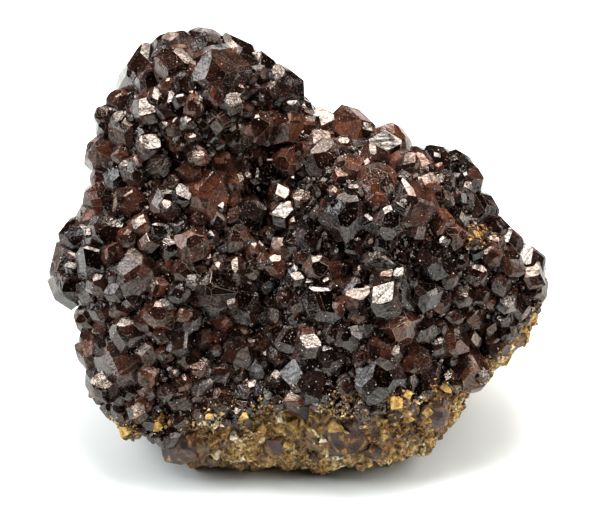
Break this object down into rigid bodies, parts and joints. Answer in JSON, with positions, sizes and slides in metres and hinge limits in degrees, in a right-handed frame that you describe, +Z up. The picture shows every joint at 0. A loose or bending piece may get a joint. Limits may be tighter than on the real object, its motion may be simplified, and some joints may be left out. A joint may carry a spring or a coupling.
{
  "type": "garnet in matrix",
  "caption": "Hand specimen: a crust of dark brown-red intergrown garnet crystals leaning back on a wedge of ochre-brown rock.",
  "frame": {"origin": "middle of the footprint of the whole specimen, on the surface it rests on", "axes": "+Z up, +X to the right along the specimen's longest side, +Y away from the viewer who faces the crystals"},
  "size_m": [0.0749, 0.0549, 0.0595],
  "materials": {
    "ochre_rock": "rough, granular, weathered",
    "garnet": "glassy crystal faces",
    "dull_garnet": "waxy, broken"
  },
  "bodies": {
    "root": {"rock_matrix": "ochre_rock", "garnet_crust": "garnet", "rock_garnet_left": "dull_garnet", "rock_garnet_middle": "dull_garnet", "rock_garnet_right": "dull_garnet"}
  },
  "joints": []
}
